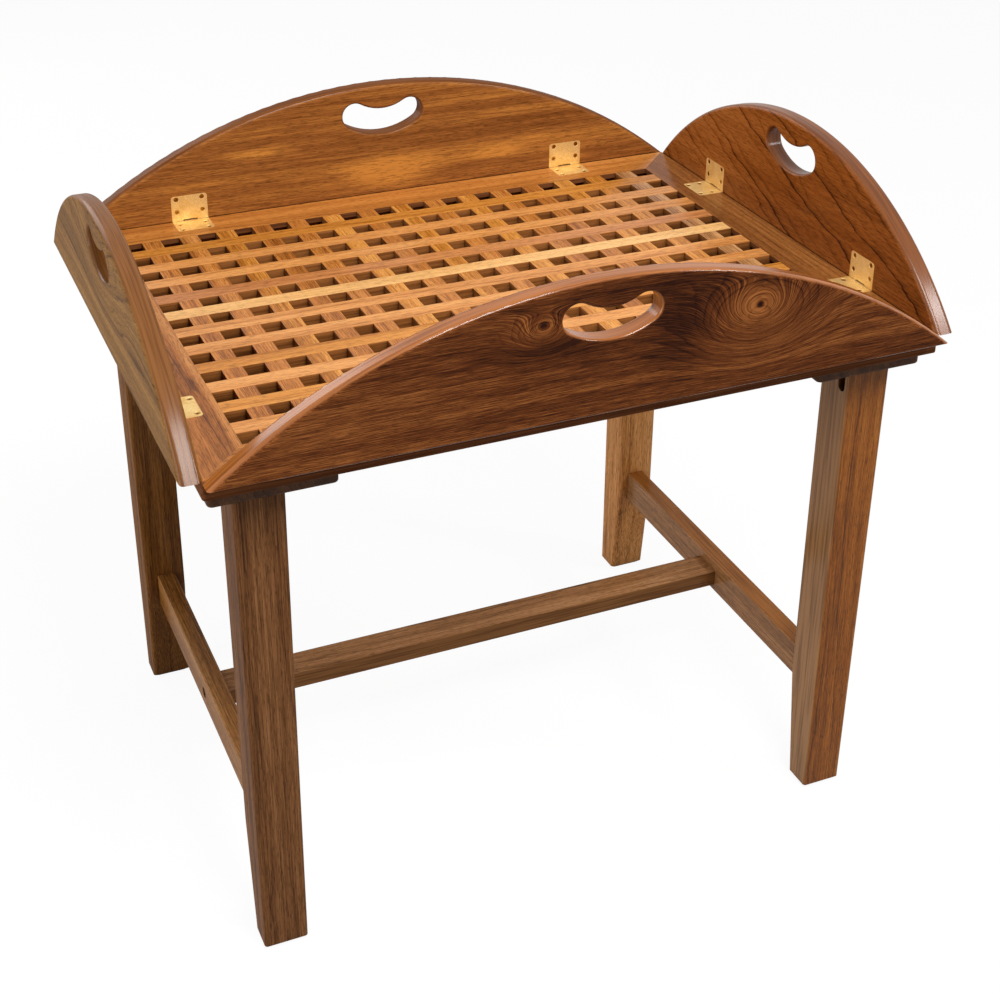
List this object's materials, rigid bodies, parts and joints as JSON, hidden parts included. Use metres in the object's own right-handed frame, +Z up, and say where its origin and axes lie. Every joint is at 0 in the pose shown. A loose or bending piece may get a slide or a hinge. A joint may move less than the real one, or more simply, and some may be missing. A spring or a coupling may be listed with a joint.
{
  "type": "butlers tray table",
  "caption": "Teak butler's tray table: a lift-off tray with a wooden grating floor and hinged arched leaves with handle holes, on a leg stand with an H stretcher.",
  "frame": {"origin": "on the floor under the middle of the table", "axes": "+X along the tray's long side, +Y to the back, +Z up; the leaves are upright and the tray rests on the stand"},
  "size_m": [0.7144, 0.562, 0.6454],
  "materials": {
    "teak_stand": "oiled teak, satin",
    "teak_tray": "varnished teak, semi-gloss",
    "teak_grating": "varnished teak, satin",
    "teak_leaf": "varnished teak, semi-gloss",
    "peg_hardwood": "plain hardwood dowel",
    "hinge_brass": "satin brass",
    "fixing_steel": "zinc-plated steel"
  },
  "bodies": {
    "stand": {"leg_front_left": "teak_stand", "leg_front_right": "teak_stand", "leg_rear_left": "teak_stand", "leg_rear_right": "teak_stand", "end_stretcher_left": "teak_stand", "end_stretcher_right": "teak_stand", "long_stretcher": "teak_stand", "stretcher_bolts": "fixing_steel", "barrel_nuts": "fixing_steel"},
    "tray": {"rail_front": "teak_tray", "rail_right": "teak_tray", "rail_back": "teak_tray", "rail_left": "teak_tray", "mitre_splines": "peg_hardwood", "long_slat_01": "teak_grating", "long_slat_02": "teak_grating", "long_slat_03": "teak_grating", "long_slat_04": "teak_grating", "long_slat_05": "teak_grating", "long_slat_06": "teak_grating", "long_slat_07": "teak_grating", "long_slat_08": "teak_grating", "long_slat_09": "teak_grating", "long_slat_10": "teak_grating", "long_slat_11": "teak_grating", "cross_slat_01": "teak_grating", "cross_slat_02": "teak_grating", "cross_slat_03": "teak_grating", "cross_slat_04": "teak_grating", "cross_slat_05": "teak_grating", "cross_slat_06": "teak_grating", "cross_slat_07": "teak_grating", "cross_slat_08": "teak_grating", "cross_slat_09": "teak_grating", "cross_slat_10": "teak_grating", "cross_slat_11": "teak_grating", "cross_slat_12": "teak_grating", "cross_slat_13": "teak_grating", "cross_slat_14": "teak_grating", "cross_slat_15": "teak_grating", "runner_left": "teak_tray", "runner_right": "teak_tray", "runner_screws": "fixing_steel", "locating_pegs": "peg_hardwood", "hinge_tray_plates": "hinge_brass", "hinge_pins": "hinge_brass", "hinge_tray_screws": "hinge_brass"},
    "leaf_front": {"leaf_front": "teak_leaf", "leaf_plates_front": "hinge_brass", "leaf_screws_front": "hinge_brass"},
    "leaf_right": {"leaf_right": "teak_leaf", "leaf_plates_right": "hinge_brass", "leaf_screws_right": "hinge_brass"},
    "leaf_back": {"leaf_back": "teak_leaf", "leaf_plates_back": "hinge_brass", "leaf_screws_back": "hinge_brass"},
    "leaf_left": {"leaf_left": "teak_leaf", "leaf_plates_left": "hinge_brass", "leaf_screws_left": "hinge_brass"}
  },
  "joints": [
    {"name": "tray_lift", "type": "slide", "parent": "stand", "child": "tray", "axis": [0, 0, 1], "range_m": [0, 0.15]},
    {"name": "leaf_front_hinge", "type": "hinge", "parent": "tray", "child": "leaf_front", "pos_m": [0, -0.26448, 0.523], "axis": [1, 0, 0], "range_deg": [0, 90]},
    {"name": "leaf_right_hinge", "type": "hinge", "parent": "tray", "child": "leaf_right", "pos_m": [0.34068, 0, 0.523], "axis": [0, 1, 0], "range_deg": [0, 90]},
    {"name": "leaf_back_hinge", "type": "hinge", "parent": "tray", "child": "leaf_back", "pos_m": [0, 0.26448, 0.523], "axis": [-1, 0, 0], "range_deg": [0, 90]},
    {"name": "leaf_left_hinge", "type": "hinge", "parent": "tray", "child": "leaf_left", "pos_m": [-0.34068, 0, 0.523], "axis": [0, -1, 0], "range_deg": [0, 90]}
  ]
}
